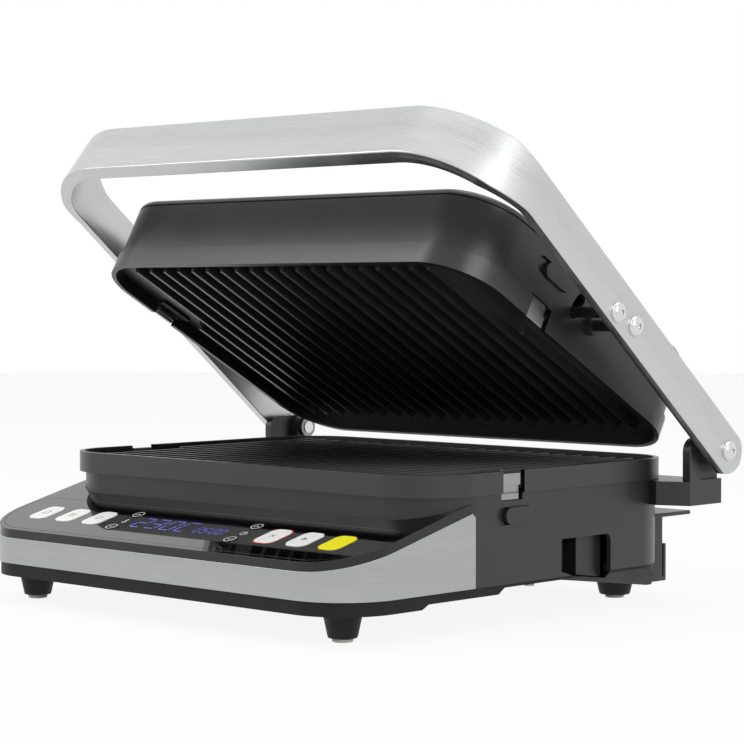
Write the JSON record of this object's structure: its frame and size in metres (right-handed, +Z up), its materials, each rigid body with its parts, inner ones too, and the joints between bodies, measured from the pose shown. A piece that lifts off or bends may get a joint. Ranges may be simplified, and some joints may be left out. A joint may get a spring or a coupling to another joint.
{
  "type": "electric indoor grill with lid",
  "caption": "Free-standing electric indoor grill with a U-shaped metal handle, a floating hinged lid, two ribbed plates, a drip tray and a sloped control deck with keys.",
  "frame": {"origin": "on the surface the feet stand on, under the middle of the box of the part with the lid half open", "axes": "+X to the side with the drip tray, +Y to the hinge at the back, +Z up"},
  "size_m": [0.3754, 0.307, 0.2811],
  "materials": {
    "black_housing": "moulded, fine satin",
    "dark_pan": "moulded matt",
    "gloss_black": "polished",
    "brushed_band": "brushed along its length",
    "handle_metal": "fine blasted satin",
    "bright_steel": "turned and polished",
    "plate_coating": "cast, grey non-stick coating",
    "clip_steel": "pressed, satin",
    "heater_steel": "heat-darkened",
    "reflector_sheet": "bright sheet",
    "key_white": "satin",
    "key_yellow": "satin",
    "key_grey": "polished",
    "pad_rubber": "matt",
    "black_rubber": "matt",
    "circuit_board": "solder mask",
    "ceramic": "unglazed",
    "display": "liquid crystal module",
    "pin_steel": "blackened"
  },
  "bodies": {
    "base": {"base_shell": "black_housing", "bottom_pan": "dark_pan", "steel_band": "brushed_band", "deck_trim": "gloss_black", "deck_panel": "gloss_black", "display_module": "display", "control_board": "circuit_board", "key_switches": "dark_pan", "power_board": "circuit_board", "terminal_block": "ceramic", "lower_plate": "plate_coating", "lower_heater": "heater_steel", "lower_reflector": "reflector_sheet", "lower_thermostat": "ceramic", "lower_clips": "clip_steel", "front_feet": "dark_pan", "rear_feet": "dark_pan", "foot_pads": "pad_rubber", "hinge_block_left": "black_housing", "hinge_block_right": "black_housing", "pivot_washers": "key_white", "cord_hooks": "dark_pan", "cord_gland": "black_rubber", "housing_screws": "bright_steel", "grease_chute": "reflector_sheet", "tray_guide": "dark_pan", "base_spring_cup": "dark_pan"},
    "arms": {"handle": "handle_metal", "pivot_screws": "bright_steel", "pivot_nuts": "pin_steel", "lid_screws": "bright_steel", "lid_pins": "pin_steel"},
    "lid": {"lid_shell": "black_housing", "upper_plate": "plate_coating", "upper_heater": "heater_steel", "upper_reflector": "reflector_sheet", "upper_thermostat": "ceramic", "upper_clips": "clip_steel", "lid_spring_cup": "dark_pan"},
    "lid_release": {"lid_button": "black_housing"},
    "lid_catch": {"lid_latch": "clip_steel"},
    "base_release": {"base_button": "black_housing"},
    "base_catch": {"base_latch": "clip_steel"},
    "tray": {"drip_tray": "dark_pan"},
    "left_key_1_cap": {"left_key_1": "key_white"},
    "left_key_2_cap": {"left_key_2": "key_white"},
    "left_key_3_cap": {"left_key_3": "key_white"},
    "right_key_1_cap": {"right_key_1": "key_white"},
    "right_key_2_cap": {"right_key_2": "key_white"},
    "right_key_3_cap": {"right_key_3": "key_yellow"},
    "left_up_key_cap": {"left_up_key": "key_grey"},
    "left_down_key_cap": {"left_down_key": "key_grey"},
    "right_up_key_cap": {"right_up_key": "key_grey"},
    "right_down_key_cap": {"right_down_key": "key_grey"}
  },
  "joints": [
    {"name": "arm_swing", "type": "hinge", "parent": "base", "child": "arms", "pos_m": [0, 0.13505, 0.089], "axis": [-1, 0, 0], "range_deg": [-29.43, 55]},
    {"name": "lid_tilt", "type": "hinge", "parent": "arms", "child": "lid", "pos_m": [0, 0.0458, 0.16232], "axis": [1, 0, 0], "range_deg": [0, 30]},
    {"name": "base_button_push", "type": "slide", "parent": "base", "child": "base_release", "axis": [-1, 0, 0], "range_m": [0, 0.003], "stiffness_N_per_m": 400, "springref_m": -0.001},
    {"name": "base_latch_slide", "type": "slide", "parent": "base", "child": "base_catch", "axis": [1, 0, 0], "range_m": [0, 0.002]},
    {"name": "lid_button_push", "type": "slide", "parent": "lid", "child": "lid_release", "axis": [-1, 0, 0], "range_m": [0, 0.003], "stiffness_N_per_m": 400, "springref_m": -0.001},
    {"name": "lid_latch_slide", "type": "slide", "parent": "lid", "child": "lid_catch", "axis": [1, 0, 0], "range_m": [0, 0.002]},
    {"name": "tray_slide", "type": "slide", "parent": "base", "child": "tray", "axis": [1, 0, 0], "range_m": [0, 0.2]},
    {"name": "left_key_1_press", "type": "slide", "parent": "base", "child": "left_key_1_cap", "axis": [0, 0.2538, -0.9673], "range_m": [0, 0.0008], "stiffness_N_per_m": 900, "springref_m": -0.0005},
    {"name": "left_key_2_press", "type": "slide", "parent": "base", "child": "left_key_2_cap", "axis": [0, 0.2538, -0.9673], "range_m": [0, 0.0008], "stiffness_N_per_m": 900, "springref_m": -0.0005},
    {"name": "left_key_3_press", "type": "slide", "parent": "base", "child": "left_key_3_cap", "axis": [0, 0.2538, -0.9673], "range_m": [0, 0.0008], "stiffness_N_per_m": 900, "springref_m": -0.0005},
    {"name": "right_key_1_press", "type": "slide", "parent": "base", "child": "right_key_1_cap", "axis": [0, 0.2538, -0.9673], "range_m": [0, 0.0008], "stiffness_N_per_m": 900, "springref_m": -0.0005},
    {"name": "right_key_2_press", "type": "slide", "parent": "base", "child": "right_key_2_cap", "axis": [0, 0.2538, -0.9673], "range_m": [0, 0.0008], "stiffness_N_per_m": 900, "springref_m": -0.0005},
    {"name": "right_key_3_press", "type": "slide", "parent": "base", "child": "right_key_3_cap", "axis": [0, 0.2538, -0.9673], "range_m": [0, 0.0008], "stiffness_N_per_m": 900, "springref_m": -0.0005},
    {"name": "left_up_key_press", "type": "slide", "parent": "base", "child": "left_up_key_cap", "axis": [0, 0.2538, -0.9673], "range_m": [0, 0.0008], "stiffness_N_per_m": 900, "springref_m": -0.0005},
    {"name": "left_down_key_press", "type": "slide", "parent": "base", "child": "left_down_key_cap", "axis": [0, 0.2538, -0.9673], "range_m": [0, 0.0008], "stiffness_N_per_m": 900, "springref_m": -0.0005},
    {"name": "right_up_key_press", "type": "slide", "parent": "base", "child": "right_up_key_cap", "axis": [0, 0.2538, -0.9673], "range_m": [0, 0.0008], "stiffness_N_per_m": 900, "springref_m": -0.0005},
    {"name": "right_down_key_press", "type": "slide", "parent": "base", "child": "right_down_key_cap", "axis": [0, 0.2538, -0.9673], "range_m": [0, 0.0008], "stiffness_N_per_m": 900, "springref_m": -0.0005}
  ],
  "couplings": [
    {"joint": "base_latch_slide", "follows": "base_button_push", "ratio": 0.666},
    {"joint": "lid_latch_slide", "follows": "lid_button_push", "ratio": 0.666}
  ]
}
